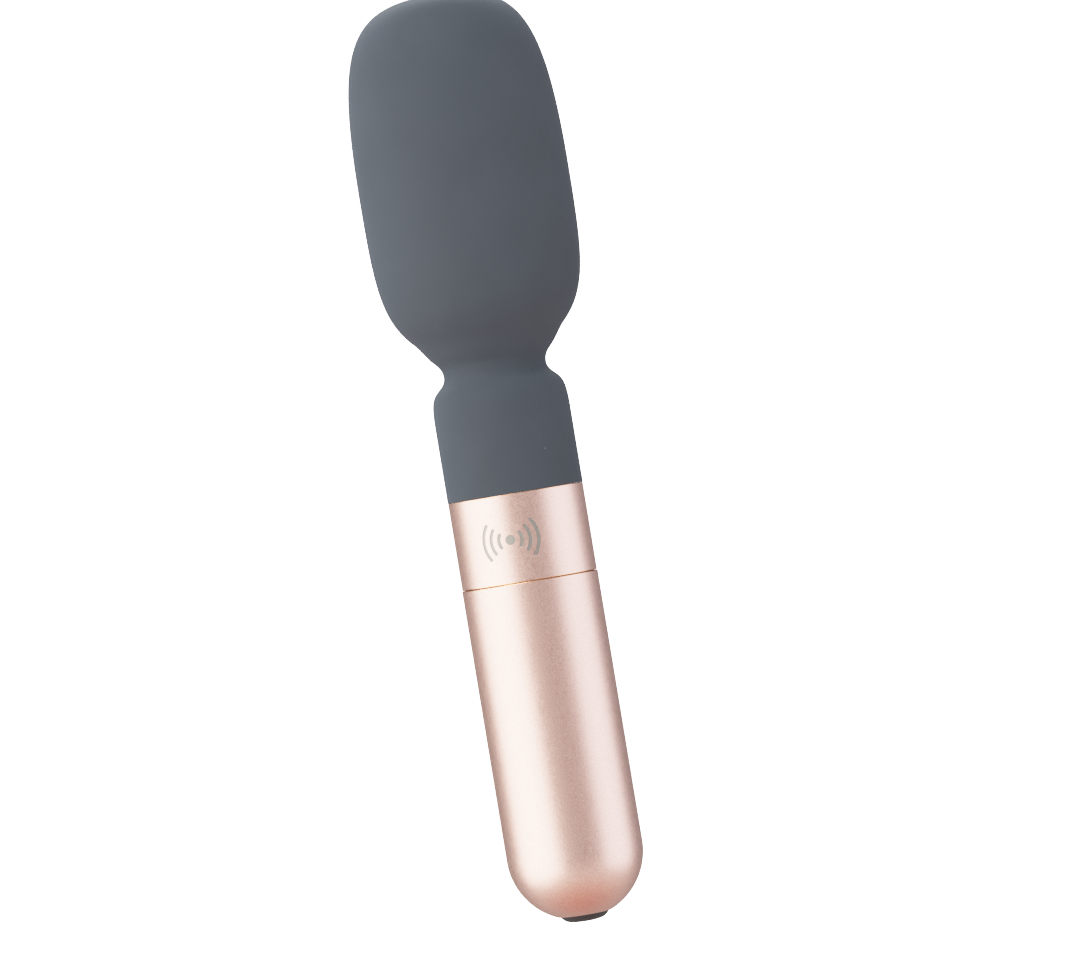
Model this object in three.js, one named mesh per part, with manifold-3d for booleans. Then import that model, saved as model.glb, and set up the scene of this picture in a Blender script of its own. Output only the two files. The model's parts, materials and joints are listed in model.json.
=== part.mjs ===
// A cordless handheld wand massager: an anodised aluminium handle with a domed end and a push button,
// and a silicone head that unscrews from it. Millimetres, +Z along the wand from the button to the head.
// Heights are measured from the tip of the button; the whole wand is lowered at the end, so that the
// origin is the middle of the grip.
import * as THREE from "three";
import Module from "manifold-3d";
import { mergeVertices } from "three/addons/utils/BufferGeometryUtils.js";

// ---- Driving dimensions ----

const WAND_LENGTH = 191;
const GRIP_HEIGHT = 40; // the middle of the hand's grip
const ROUND = 32; // facets round a large turned part
const MEDIUM = 20; // facets round a motor-sized part
const SMALL = 12; // facets round a screw or a pin
const GAP = 0.2; // between neighbours that slide, turn or only touch
const EDGE = 0.25; // chamfer on visible metal edges
const SIDES = [-1, 1];

// Handle casing
const BODY_R = 14;
const BODY_INNER_R = 12.5;
const DOME_HEIGHT = 14.4; // where the straight tube meets the domed end
const BODY_TOP = 70.2;

// Collar between the casing and the head, with a spigot that plugs into the casing
const COLLAR_R = 13.9;
const COLLAR_BORE = 11;
const COLLAR_BOTTOM = 70.45;
const COLLAR_TOP = 88.3;
const LIP_R = 10.2;
const LIP_THICKNESS = 1.1;
const SPIGOT_R = 12.3;
const SPIGOT_BOTTOM = 62;
const O_RING_HEIGHT = 66;
const O_RING_SECTION = 0.45;
const O_RING_GROOVE_R = 11.5;

// Nose that carries the motor and the male thread
const NOSE_R = 9;
const NOSE_BORE = 7.5;
const NOSE_BOTTOM = 84.1;
const NOSE_FLOOR = 86.6;
const NOSE_TOP = 106.2;
const NOSE_FLANGE_R = COLLAR_BORE - GAP;
const NOSE_FLANGE_TOP = COLLAR_TOP - LIP_THICKNESS - GAP;
const WIRE_OPENING_R = 3.5;
const CAP_SEAT_R = 8.3;
const CAP_BOTTOM = 104.1;
const PIN_OFFSET = 4;
const PIN_R = 0.9;
const MAGNET_R = 2;
const MAGNET_THICKNESS = 1;

// Right-handed thread: the nose's ridge and the head's ridge run half a pitch apart
const PITCH = 2.5;
const THREAD_TURNS = 1.5;
const THREAD_DEPTH = 1;
const THREAD_ROOT = 1.2; // ridge thickness where it leaves its wall
const THREAD_CREST = 0.6; // ridge thickness at its crest
const THREAD_START = 91.5;
const THREAD_SUNK = 0.3; // depth of the ridge's root in its wall

// Head: a threaded insert with silicone moulded over it
const HEAD_BOTTOM = 88.45;
const SKIRT_R = 13.95;
const SOCKET_R = 10.4;
const SOCKET_ROOF = 107.2;
const INSERT_R = 12.4;
const INSERT_BOTTOM = 88.7;
const INSERT_TOP = 108.4;
const SEAL_RING_R = 11.15;
const SEAL_RING_SECTION = 0.55;
const NECK_LOW = 110.8; // the soft neck bends between these two heights
const NECK_HIGH = 116.4;
const THROAT_R = 10.56;
const THROAT_HEIGHT = 113.75;
const BULB_R = 21.6;
const BULB_HEIGHT = 153; // where the bulb is widest
const MOULD_HOLE_R = 1.5; // left by the pin that holds the core in the mould

// Hollow core inside the bulb, in two halves
const CORE_R = 17.3;
const CORE_WALL = 1.6;
const CORE_BOTTOM = 123;
const CORE_TOP = 186;

// Chassis, cell and main board
const CHASSIS_R = 12;
const CHASSIS_NARROW_R = COLLAR_BORE - GAP;
const CHASSIS_WALL = 1.1;
const CHASSIS_BOTTOM = 12.4;
const CHASSIS_FLOOR = 13.4;
const CHASSIS_STEP = 61.6;
const CHASSIS_ROOF = 80.6;
const CHASSIS_TOP = 83.9;
const BULKHEAD = [60.3, 61.9];
const CELL_R = 7;
const CELL_LENGTH = 43;
const CELL_BOTTOM = 14.1;
const CELL_TOP = CELL_BOTTOM + CELL_LENGTH;
const CELL_OFFSET = 3.2; // behind the wand's axis
const TERMINAL_HEIGHT = 0.6;
const TAB_THICKNESS = 0.2;
const BOARD_FRONT = -6;
const BOARD_THICKNESS = 1;
const BOARD_BACK = BOARD_FRONT + BOARD_THICKNESS;
const LEAD_R = 0.35;
const LEAD_CIRCLE = 6.95;
const LEAD_HOLE_R = 0.6;
const SCREW_CIRCLE = 8.2;
const SCREW_ANGLES = [90, 210, 330].map((degrees) => (degrees * Math.PI) / 180);
const SCREW_R = 0.7;
const SCREW_HOLE_R = 0.9;

// Push button and its switch, in the domed end
const BUTTON_HOLE_R = 5.3;
const BUTTON_R = 5.1;
const BUTTON_DOME = 1.5; // how far its face stands out of the casing's end
const FLANGE_R = 6.3;
const FLANGE_BOTTOM = 4.3;
const FLANGE_TOP = 5.2;
const STEM_R = 2;
const STEM_TOP = 6.4;
const PLUNGER_R = 1;
const SWITCH_BOTTOM = 7.2;
const BUTTON_BOARD_BOTTOM = 9.2;
const BUTTON_BOARD_TOP = 10.2;
const BUTTON_BOARD_R = 8.8;
const BUTTON_SCREW_OFFSET = 5;
const RIBBON_Y = -7.4; // just in front of the main board
const RIBBON_BOTTOM = BUTTON_BOARD_TOP + 0.1;
const RIBBON_LENGTH = 6.3;

// Motor, in heights above its own rear face
const MOTOR_BASE = NOSE_FLOOR + GAP;
const CAN_R = 5.6;
const CAN_INNER_R = 5.2;
const CAN_LENGTH = 12;
const SHAFT_R = 0.75;
const SHAFT_HOLE_R = 0.85;
const WEIGHT_BOTTOM = 12.7;
const WEIGHT_TOP = 15.7;
const WEIGHT_R = 5.2;

// ---- Geometry helpers ----

const wasm = await Module();
wasm.setup();

// A closed three.js geometry as a manifold-3d solid.
function solidOf(geometry) {
  const loose = geometry.index ? geometry.toNonIndexed() : geometry;
  const bare = new THREE.BufferGeometry();
  bare.setAttribute("position", loose.getAttribute("position"));
  const merged = mergeVertices(bare, 1e-3);
  return new wasm.Manifold(
    new wasm.Mesh({
      numProp: 3,
      vertProperties: merged.attributes.position.array,
      triVerts: new Uint32Array(merged.index.array),
    }),
  );
}

function geometryOf(solid) {
  const mesh = solid.getMesh();
  const geometry = new THREE.BufferGeometry();
  geometry.setAttribute("position", new THREE.BufferAttribute(mesh.vertProperties, 3));
  geometry.setIndex(new THREE.BufferAttribute(mesh.triVerts, 1));
  return geometry;
}

function cut(geometry, ...tools) {
  return geometryOf(tools.reduce((left, tool) => left.subtract(solidOf(tool)), solidOf(geometry)));
}

function join(geometry, ...others) {
  return geometryOf(others.reduce((left, other) => left.add(solidOf(other)), solidOf(geometry)));
}

// A solid of revolution about Z. Its outline holds [radius, height] points, up the outside and down the
// inside, and starts and ends on the axis or closes on itself.
function turned(outline, facets = ROUND) {
  const points = outline.map(([radius, height]) => new THREE.Vector2(radius, height));
  return new THREE.LatheGeometry(points, facets).rotateX(Math.PI / 2);
}

function cylinder(radius, low, high, facets = SMALL) {
  const shape = new THREE.CylinderGeometry(radius, radius, high - low, facets);
  return shape.rotateX(Math.PI / 2).translate(0, 0, (low + high) / 2);
}

function pipe(outer, inner, low, high, facets = ROUND) {
  return turned([[inner, low], [outer, low], [outer, high], [inner, high], [inner, low]], facets);
}

function block(width, depth, height) {
  return new THREE.BoxGeometry(width, depth, height);
}

// Points of an arc in the [radius, height] plane, from one angle to another, a quarter turn being upwards.
function arc(radius, height, size, from, to, steps) {
  return Array.from({ length: steps + 1 }, (_, i) => {
    const angle = from + ((to - from) * i) / steps;
    return [radius + size * Math.cos(angle), height + size * Math.sin(angle)];
  });
}

function ringOf(radius, section, height) {
  const turn = arc(radius, height, section, -Math.PI, Math.PI, 6);
  return turned([...turn.slice(0, -1), turn[0]]);
}

// Points of a cubic curve given by its four control points.
function curve(controls, steps) {
  const points = controls.map(([x, y]) => new THREE.Vector2(x, y));
  return new THREE.CubicBezierCurve(...points).getPoints(steps).map((p) => [p.x, p.y]);
}

// The stretch of a rising outline between two heights, with a point added on each.
function stretch(outline, low, high) {
  const at = (height) => {
    const i = outline.findIndex(([, z]) => z > height);
    const [[r0, z0], [r1, z1]] = [outline[i - 1], outline[i]];
    return [r0 + ((r1 - r0) * (height - z0)) / (z1 - z0), height];
  };
  const margin = 0.1;
  return [at(low), ...outline.filter(([, z]) => z > low + margin && z < high - margin), at(high)];
}

// A round wire through a list of points.
function wire(points) {
  const section = new THREE.Shape().absarc(0, 0, LEAD_R, 0, 2 * Math.PI);
  const path = new THREE.CatmullRomCurve3(points.map((p) => new THREE.Vector3(...p)));
  return new THREE.ExtrudeGeometry(section, { steps: 18, extrudePath: path, curveSegments: 4 });
}

// A helical ridge from its root radius to its crest radius, standing out of a wall or into a bore.
function threadRidge(rootR, crestR, start) {
  const corners = [
    [rootR, -THREAD_ROOT / 2],
    [crestR, -THREAD_CREST / 2],
    [crestR, THREAD_CREST / 2],
    [rootR, THREAD_ROOT / 2],
  ];
  const count = corners.length;
  const steps = THREAD_TURNS * ROUND;
  const positions = [];
  for (let i = 0; i <= steps; i++) {
    const angle = (2 * Math.PI * i) / ROUND;
    const height = start + (PITCH * i) / ROUND;
    corners.forEach(([r, z]) => positions.push(r * Math.cos(angle), r * Math.sin(angle), height + z));
  }
  const last = count * steps;
  const faces = [[0, 1, 2], [0, 2, 3], [last, last + 2, last + 1], [last, last + 3, last + 2]];
  for (let i = 0; i < steps; i++) {
    for (let k = 0; k < count; k++) {
      const a = count * i + k;
      const b = count * i + ((k + 1) % count);
      faces.push([a, a + count, b], [b, a + count, b + count]);
    }
  }
  const outward = crestR > rootR;
  const ridge = new THREE.BufferGeometry();
  ridge.setAttribute("position", new THREE.Float32BufferAttribute(positions, 3));
  ridge.setIndex(faces.flatMap(([a, b, c]) => (outward ? [a, b, c] : [a, c, b])));
  return ridge;
}

// ---- Materials ----

function material(color, roughness, metalness = 0) {
  return new THREE.MeshStandardMaterial({ color, roughness, metalness });
}

const ROSE_METAL = material(0xd9b3a8, 0.35, 1);
const SILICONE = material(0x565b62, 0.6);
const BUTTON_RUBBER = material(0x3a3c40, 0.6);
const BLACK_RUBBER = material(0x1c1c1e, 0.7);
const BLACK_PLASTIC = material(0x26272a, 0.5);
const WHITE_PLASTIC = material(0xe6e4df, 0.45);
const STEEL = material(0xb9bcc0, 0.3, 1);
const BRASS = material(0xc9a24f, 0.3, 1);
const COPPER = material(0xb46a3c, 0.4, 1);
const FERRITE = material(0x3c3d40, 0.6);
const CELL_WRAP = material(0x2f6fa8, 0.35);
const BOARD_GREEN = material(0x1d5b3a, 0.4);
const CHIP_BLACK = material(0x18181a, 0.5);
const RED_WIRE = material(0xb02a25, 0.5);
const BLACK_WIRE = material(0x1a1a1c, 0.5);
const FOAM = material(0x6c6e72, 0.9);

function piece(name, geometry, look, x = 0, y = 0, z = 0) {
  const mesh = new THREE.Mesh(geometry, look);
  mesh.name = name;
  mesh.position.set(x, y, z);
  return mesh;
}

function groupOf(...children) {
  const group = new THREE.Group();
  group.add(...children);
  return group;
}

const handOf = (side) => (side < 0 ? "left" : "right");

// ---- Handle casing ----

function bodyShell() {
  const holeAngle = (radius) => -Math.acos(BUTTON_HOLE_R / radius);
  const outside = arc(0, DOME_HEIGHT, BODY_R, holeAngle(BODY_R), 0, 8);
  const inside = arc(0, DOME_HEIGHT, BODY_INNER_R, 0, holeAngle(BODY_INNER_R), 7);
  return turned([
    ...outside,
    [BODY_R, BODY_TOP - EDGE],
    [BODY_R - EDGE, BODY_TOP],
    [BODY_INNER_R, BODY_TOP],
    ...inside,
    outside[0],
  ]);
}

function collarRing() {
  const grooveHalf = O_RING_SECTION + 0.15;
  return turned([
    [COLLAR_BORE, SPIGOT_BOTTOM],
    [SPIGOT_R - EDGE, SPIGOT_BOTTOM],
    [SPIGOT_R, SPIGOT_BOTTOM + EDGE],
    [SPIGOT_R, O_RING_HEIGHT - grooveHalf],
    [O_RING_GROOVE_R, O_RING_HEIGHT - grooveHalf],
    [O_RING_GROOVE_R, O_RING_HEIGHT + grooveHalf],
    [SPIGOT_R, O_RING_HEIGHT + grooveHalf],
    [SPIGOT_R, COLLAR_BOTTOM],
    [COLLAR_R - EDGE, COLLAR_BOTTOM],
    [COLLAR_R, COLLAR_BOTTOM + EDGE],
    [COLLAR_R, COLLAR_TOP - EDGE],
    [COLLAR_R - EDGE, COLLAR_TOP],
    [LIP_R, COLLAR_TOP],
    [LIP_R, COLLAR_TOP - LIP_THICKNESS],
    [COLLAR_BORE, COLLAR_TOP - LIP_THICKNESS],
    [COLLAR_BORE, SPIGOT_BOTTOM],
  ]);
}

function casing() {
  const oRingR = O_RING_GROOVE_R + O_RING_SECTION + 0.03;
  return groupOf(
    piece("body_shell", bodyShell(), ROSE_METAL),
    piece("collar_ring", collarRing(), ROSE_METAL),
    piece("collar_o_ring", ringOf(oRingR, O_RING_SECTION, O_RING_HEIGHT), BLACK_RUBBER),
  );
}

// ---- Chassis: the skeleton that slides into the casing with the cell and the boards ----

const screwHoles = (low, high) =>
  SCREW_ANGLES.map((angle) => {
    const hole = cylinder(SCREW_HOLE_R, low, high);
    return hole.translate(SCREW_CIRCLE * Math.cos(angle), SCREW_CIRCLE * Math.sin(angle), 0);
  });

const leadHoles = (low, high) =>
  SIDES.map((side) => cylinder(LEAD_HOLE_R, low, high).translate(side * LEAD_CIRCLE, 0, 0));

function chassis() {
  const outside = turned([
    [0, CHASSIS_BOTTOM],
    [CHASSIS_R, CHASSIS_BOTTOM],
    [CHASSIS_R, CHASSIS_STEP],
    [CHASSIS_NARROW_R, CHASSIS_STEP],
    [CHASSIS_NARROW_R, CHASSIS_TOP],
    [0, CHASSIS_TOP],
  ]);
  const lowerRoom = cylinder(CHASSIS_R - CHASSIS_WALL, CHASSIS_FLOOR, BULKHEAD[0], ROUND);
  const upperRoom = cylinder(CHASSIS_NARROW_R - CHASSIS_WALL, BULKHEAD[1], CHASSIS_ROOF, ROUND);
  const boardWindow = block(17, 10, 41).translate(0, -10.4, 37);
  const cellWindow = block(13, 10, 36).translate(0, 12, 37);
  const sideWindows = block(30, 9, 12).translate(0, 0, 71);
  const leadSlot = block(15, 3.5, 4).translate(0, -5.2, 61);
  const ribbonSlot = block(7, 1.5, 4).translate(0, RIBBON_Y, CHASSIS_FLOOR);
  const windows = [boardWindow, cellWindow, sideWindows, leadSlot, ribbonSlot];
  const wireOpening = cylinder(WIRE_OPENING_R, CHASSIS_ROOF - 1, CHASSIS_TOP + 1, MEDIUM);
  const bosses = SIDES.map((side) =>
    cylinder(1.6, BUTTON_BOARD_TOP + 0.1, CHASSIS_FLOOR - 0.2).translate(side * BUTTON_SCREW_OFFSET, 0, 0),
  );
  const bossHoles = SIDES.map((side) =>
    cylinder(SCREW_HOLE_R, 0, CHASSIS_FLOOR + 1).translate(side * BUTTON_SCREW_OFFSET, 0, 0),
  );
  const frame = cut(outside, lowerRoom, upperRoom, ...windows, wireOpening);
  const drilled = [...bossHoles, ...screwHoles(CHASSIS_ROOF - 1, CHASSIS_TOP + 1)];
  return cut(join(frame, ...bosses), ...drilled, ...leadHoles(CHASSIS_ROOF - 1, CHASSIS_TOP + 1));
}

function batteryCell() {
  const rounding = 0.4;
  const terminalR = 2.6;
  const outline = [
    [0, 0],
    [CELL_R - rounding, 0],
    [CELL_R, rounding],
    [CELL_R, CELL_LENGTH - rounding],
    [CELL_R - rounding, CELL_LENGTH],
    [terminalR, CELL_LENGTH],
    [terminalR, CELL_LENGTH + TERMINAL_HEIGHT],
    [0, CELL_LENGTH + TERMINAL_HEIGHT],
  ];
  return turned(outline, MEDIUM);
}

// A nickel strip that lies across an end of the cell and turns along the board's back.
function batteryTab(turn) {
  const width = 4;
  const leg = 3;
  const front = BOARD_BACK + 0.3;
  const back = CELL_OFFSET + 2;
  const strip = block(width, back - front, TAB_THICKNESS).translate(0, (front + back) / 2, 0);
  const along = block(width, TAB_THICKNESS, leg);
  return join(strip, along.translate(0, front + TAB_THICKNESS / 2, (turn * (leg - TAB_THICKNESS)) / 2));
}

function mainBoard() {
  const length = CELL_LENGTH + 1;
  const group = groupOf(piece("main_board", block(17.6, BOARD_THICKNESS, length), BOARD_GREEN));
  const mounted = (name, width, depth, height, look, x, z) =>
    piece(name, block(width, depth, height), look, x, -(BOARD_THICKNESS + depth) / 2 - 0.1, z);
  group.add(
    mounted("controller_chip", 5, 0.9, 5, CHIP_BLACK, 0, 2),
    mounted("charger_chip", 3, 0.8, 3, CHIP_BLACK, -4, 12),
    mounted("motor_driver", 3.9, 1, 4.9, CHIP_BLACK, 3, -8),
    mounted("power_inductor", 4, 2, 4, FERRITE, 4, 10),
    mounted("button_connector", 6, 2.2, 3.5, WHITE_PLASTIC, 0, -17),
  );
  group.position.set(0, (BOARD_FRONT + BOARD_BACK) / 2, CELL_BOTTOM + CELL_LENGTH / 2);
  return group;
}

function electronics() {
  const tabBelow = CELL_BOTTOM - 0.25;
  const tabAbove = CELL_TOP + TERMINAL_HEIGHT + 0.2;
  const padThickness = 2;
  const padHeight = tabAbove + 0.25 + padThickness / 2;
  return groupOf(
    piece("chassis", chassis(), BLACK_PLASTIC),
    piece("battery_cell", batteryCell(), CELL_WRAP, 0, CELL_OFFSET, CELL_BOTTOM),
    piece("battery_tab_bottom", batteryTab(1), STEEL, 0, 0, tabBelow),
    piece("battery_tab_top", batteryTab(-1), STEEL, 0, 0, tabAbove),
    piece("battery_pad", block(8, 6, padThickness), FOAM, 0, CELL_OFFSET, padHeight),
    mainBoard(),
  );
}

// ---- Nose: the housing that holds the motor, the charging contacts and the male thread ----

function noseHousing() {
  const tube = turned([
    [WIRE_OPENING_R, NOSE_BOTTOM],
    [NOSE_FLANGE_R, NOSE_BOTTOM],
    [NOSE_FLANGE_R, NOSE_FLANGE_TOP],
    [NOSE_R, NOSE_FLANGE_TOP],
    [NOSE_R, NOSE_TOP - EDGE],
    [NOSE_R - EDGE, NOSE_TOP],
    [CAP_SEAT_R, NOSE_TOP],
    [CAP_SEAT_R, CAP_BOTTOM - GAP],
    [NOSE_BORE, CAP_BOTTOM - GAP],
    [NOSE_BORE, NOSE_FLOOR],
    [WIRE_OPENING_R, NOSE_FLOOR],
    [WIRE_OPENING_R, NOSE_BOTTOM],
  ]);
  const threaded = join(tube, threadRidge(NOSE_R - THREAD_SUNK, NOSE_R + THREAD_DEPTH, THREAD_START));
  const blindHoles = screwHoles(NOSE_BOTTOM - 1, NOSE_FLOOR - 0.2);
  return cut(threaded, ...blindHoles, ...leadHoles(NOSE_BOTTOM - 1, NOSE_FLOOR + 1));
}

function noseCap() {
  const disc = cylinder(CAP_SEAT_R - GAP, CAP_BOTTOM, NOSE_TOP, ROUND);
  const pinHoles = SIDES.map((side) =>
    cylinder(PIN_R + GAP, CAP_BOTTOM - 1, NOSE_TOP + 1).translate(side * PIN_OFFSET, 0, 0),
  );
  const pocketTop = CAP_BOTTOM + MAGNET_THICKNESS + GAP;
  return cut(disc, ...pinHoles, cylinder(MAGNET_R + GAP, CAP_BOTTOM - 1, pocketTop, MEDIUM));
}

function chargePin() {
  const tail = CAP_BOTTOM - 0.9;
  const tip = NOSE_TOP + 0.25;
  const rounding = 0.3;
  const outline = [[0, tail], [PIN_R, tail], [PIN_R, tip - rounding], [PIN_R - rounding, tip], [0, tip]];
  return turned(outline, SMALL);
}

function chargeLead(side) {
  const soldered = BOARD_BACK + LEAD_R + 0.1;
  return wire([
    [side * (PIN_OFFSET + PIN_R + LEAD_R + 0.1), 0, CAP_BOTTOM - 0.7],
    [side * (LEAD_CIRCLE - LEAD_R), 0, CAP_BOTTOM - 1],
    [side * LEAD_CIRCLE, 0, CAP_BOTTOM - 2.5],
    [side * LEAD_CIRCLE, 0, NOSE_FLOOR + 4],
    [side * LEAD_CIRCLE, 0, CHASSIS_ROOF - 1],
    [side * 6.5, -2.5, 70],
    [side * 6, soldered, 62],
    [side * 6, soldered, 54],
  ]);
}

function screw(headR, headHeight, length) {
  return turned(
    [
      [0, -headHeight],
      [headR, -headHeight],
      [headR, 0],
      [SCREW_R, 0],
      [SCREW_R, length - SCREW_R],
      [0, length],
    ],
    SMALL,
  );
}

function nose() {
  const group = groupOf(
    piece("nose_housing", noseHousing(), BLACK_PLASTIC),
    piece("nose_cap", noseCap(), BLACK_PLASTIC),
    piece("charge_magnet", cylinder(MAGNET_R, 0, MAGNET_THICKNESS, MEDIUM), STEEL, 0, 0, CAP_BOTTOM + 0.1),
  );
  SIDES.forEach((side) => {
    group.add(piece("charge_pin_" + handOf(side), chargePin(), BRASS, side * PIN_OFFSET));
    group.add(piece("charge_lead_" + handOf(side), chargeLead(side), BLACK_WIRE));
  });
  SCREW_ANGLES.forEach((angle, i) => {
    const [x, y] = [SCREW_CIRCLE * Math.cos(angle), SCREW_CIRCLE * Math.sin(angle)];
    group.add(piece("nose_screw_" + (i + 1), screw(1.25, 1.2, 5.6), STEEL, x, y, CHASSIS_ROOF - 0.1));
  });
  return group;
}

// ---- Motor with an off-centre weight on its shaft ----

function motorSleeve() {
  const low = MOTOR_BASE + 0.5;
  const high = MOTOR_BASE + CAN_LENGTH - 1.5;
  return cut(pipe(NOSE_BORE - GAP, CAN_R + GAP, low, high), ...leadHoles(low - 1, high + 1));
}

function motorCan() {
  const plate = CAN_LENGTH - 0.5;
  const bushSeat = 2.2;
  const outline = [
    [CAN_INNER_R, 0],
    [CAN_R, 0],
    [CAN_R, CAN_LENGTH],
    [bushSeat, CAN_LENGTH],
    [bushSeat, plate],
    [CAN_INNER_R, plate],
    [CAN_INNER_R, 0],
  ];
  return turned(outline, MEDIUM);
}

// A three-slot armature, wound on the shaft.
function motorArmature() {
  const slots = SCREW_ANGLES.map((angle) => block(3, 0.9, 10).translate(3, 0, 6).rotateZ(angle));
  return cut(pipe(3.6, SHAFT_R + 0.05, 2.8, 9.4, MEDIUM), ...slots);
}

function eccentricWeight() {
  const hub = cylinder(1.9, WEIGHT_BOTTOM, WEIGHT_TOP, MEDIUM);
  const disc = cylinder(WEIGHT_R, WEIGHT_BOTTOM, WEIGHT_TOP, MEDIUM);
  const half = cut(disc, block(2 * WEIGHT_R + 1, WEIGHT_R + 1, 50).translate(0, (WEIGHT_R + 1) / 2, 0));
  return cut(join(half, hub), cylinder(SHAFT_R + 0.05, 0, 20, MEDIUM));
}

function motorLead(side) {
  const soldered = BOARD_BACK + LEAD_R + 0.1;
  return wire([
    [side * 2, 0, NOSE_FLOOR - 0.1],
    [side * 2, 0, CHASSIS_ROOF],
    [side * 2.6, -2, 70],
    [side * 3.4, soldered, 62],
    [side * 3.4, soldered, 54],
  ]);
}

function motor() {
  const inside = groupOf(
    piece("motor_can", motorCan(), STEEL),
    piece("motor_end_cap", pipe(CAN_INNER_R - 0.1, SHAFT_HOLE_R, 0, 1.6, MEDIUM), WHITE_PLASTIC),
    piece("motor_magnet", pipe(5.1, 3.9, 2.4, 9.8, MEDIUM), FERRITE),
    piece("motor_bush", pipe(2.1, SHAFT_HOLE_R, 10.4, 12.3, MEDIUM), BRASS),
    piece("motor_shaft", cylinder(SHAFT_R, 0.6, 16, MEDIUM), STEEL),
    piece("motor_armature", motorArmature(), COPPER),
    piece("commutator", pipe(1.6, SHAFT_R + 0.05, 1.8, 2.6, MEDIUM), BRASS),
    piece("eccentric_weight", eccentricWeight(), STEEL),
  );
  inside.position.z = MOTOR_BASE;
  return groupOf(
    inside,
    piece("motor_sleeve", motorSleeve(), BLACK_RUBBER),
    piece("motor_lead_left", motorLead(-1), BLACK_WIRE),
    piece("motor_lead_right", motorLead(1), RED_WIRE),
  );
}

// ---- Push button ----

// A rubber cap whose face is flat in the middle and falls away to its rim, with a flange behind the
// casing's edge and a socket for the stem.
function buttonCap() {
  const flatR = 3.9;
  const fallOff = 0.3;
  const socketR = STEM_R + 0.1;
  const socketRoof = 2.4;
  const outline = [
    ...curve([[0, 0], [flatR, 0], [flatR, fallOff], [BUTTON_R, BUTTON_DOME]], 6),
    [BUTTON_R, FLANGE_BOTTOM],
    [FLANGE_R, FLANGE_BOTTOM],
    [FLANGE_R, FLANGE_TOP],
    [socketR, FLANGE_TOP],
    [socketR, socketRoof],
    [0, socketRoof],
  ];
  return turned(outline, MEDIUM);
}

function buttonSeal() {
  const section = 0.4;
  const ringR = 5.75;
  const clearOfDome = BODY_INNER_R - section - 0.05;
  return ringOf(ringR, section, DOME_HEIGHT - Math.sqrt(clearOfDome ** 2 - ringR ** 2));
}

function buttonGuide() {
  const [bore, low, high] = [6.6, 5.9, 9.1];
  return turned([[bore, low], [8.5, low], [10.2, 8], [10.2, high], [bore, high], [bore, low]]);
}

function tactSwitch() {
  const body = block(4.5, 4.5, 1.9).translate(0, 0, SWITCH_BOTTOM + 0.95);
  return cut(body, cylinder(PLUNGER_R + 0.1, 0, SWITCH_BOTTOM + 1.6, MEDIUM));
}

function buttonBoard() {
  const disc = cylinder(BUTTON_BOARD_R, BUTTON_BOARD_BOTTOM, BUTTON_BOARD_TOP, ROUND);
  const hole = () => cylinder(SCREW_HOLE_R, 0, BUTTON_BOARD_TOP + 1);
  return cut(disc, ...SIDES.map((side) => hole().translate(side * BUTTON_SCREW_OFFSET, 0, 0)));
}

function button() {
  const group = groupOf(
    piece("button_cap", buttonCap(), BUTTON_RUBBER),
    piece("button_stem", cylinder(STEM_R, 2.5, STEM_TOP, MEDIUM), WHITE_PLASTIC),
    piece("switch_plunger", cylinder(PLUNGER_R, STEM_TOP + 0.1, SWITCH_BOTTOM + 1, MEDIUM), BLACK_PLASTIC),
    piece("button_seal", buttonSeal(), BLACK_RUBBER),
    piece("button_guide", buttonGuide(), BLACK_PLASTIC),
    piece("tact_switch", tactSwitch(), STEEL),
    piece("button_board", buttonBoard(), BOARD_GREEN),
    piece("button_ribbon", block(5, 0.3, RIBBON_LENGTH), BRASS, 0, RIBBON_Y, RIBBON_BOTTOM + RIBBON_LENGTH / 2),
  );
  SIDES.forEach((side) => {
    const at = [side * BUTTON_SCREW_OFFSET, 0, BUTTON_BOARD_BOTTOM - 0.1];
    group.add(piece("board_screw_" + handOf(side), screw(1.25, 1, 4), STEEL, ...at));
  });
  return group;
}

// ---- Head ----

// Outside of the silicone, from the skirt's bottom edge to the top of the bulb.
function headOutline() {
  const [shoulder, shoulderR] = [110.8, 12.45];
  const [coneStart, coneStartR] = [117.2, 12.4];
  const [coneEnd, coneEndR] = [121.3, 15.55];
  const throat = [THROAT_R, THROAT_HEIGHT];
  return [
    [SKIRT_R - EDGE, HEAD_BOTTOM],
    [SKIRT_R, HEAD_BOTTOM + EDGE],
    ...curve([[SKIRT_R, 104], [SKIRT_R, 108.3], [13.55, 109.65], [shoulderR, shoulder]], 6),
    ...curve([[shoulderR, shoulder], [11.7, 111.6], [THROAT_R, 112.3], throat], 5).slice(1),
    ...curve([throat, [THROAT_R, 115.4], [11.45, 116.15], [coneStartR, coneStart]], 5).slice(1),
    ...curve([[coneStartR, coneStart], [13.4, 118.3], [14.4, 120.1], [coneEndR, coneEnd]], 3).slice(1),
    ...curve([[coneEndR, coneEnd], [21.4, 127.3], [BULB_R, 135], [BULB_R, BULB_HEIGHT]], 8).slice(1),
    ...curve([[BULB_R, BULB_HEIGHT], [BULB_R, 185], [16.7, WAND_LENGTH], [0, WAND_LENGTH]], 12).slice(1),
  ];
}

// Lower and upper halves of the core's outline, from bottom to top, drawn in by an inset.
function coreOutline(inset) {
  const radius = CORE_R - inset;
  const [bottom, top] = [CORE_BOTTOM + inset, CORE_TOP - inset];
  return {
    lower: curve([[0, bottom], [11.5, bottom], [radius, 129.5], [radius, BULB_HEIGHT]], 5),
    upper: curve([[radius, BULB_HEIGHT], [radius, 179], [12.5, top], [0, top]], 6),
  };
}

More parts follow.
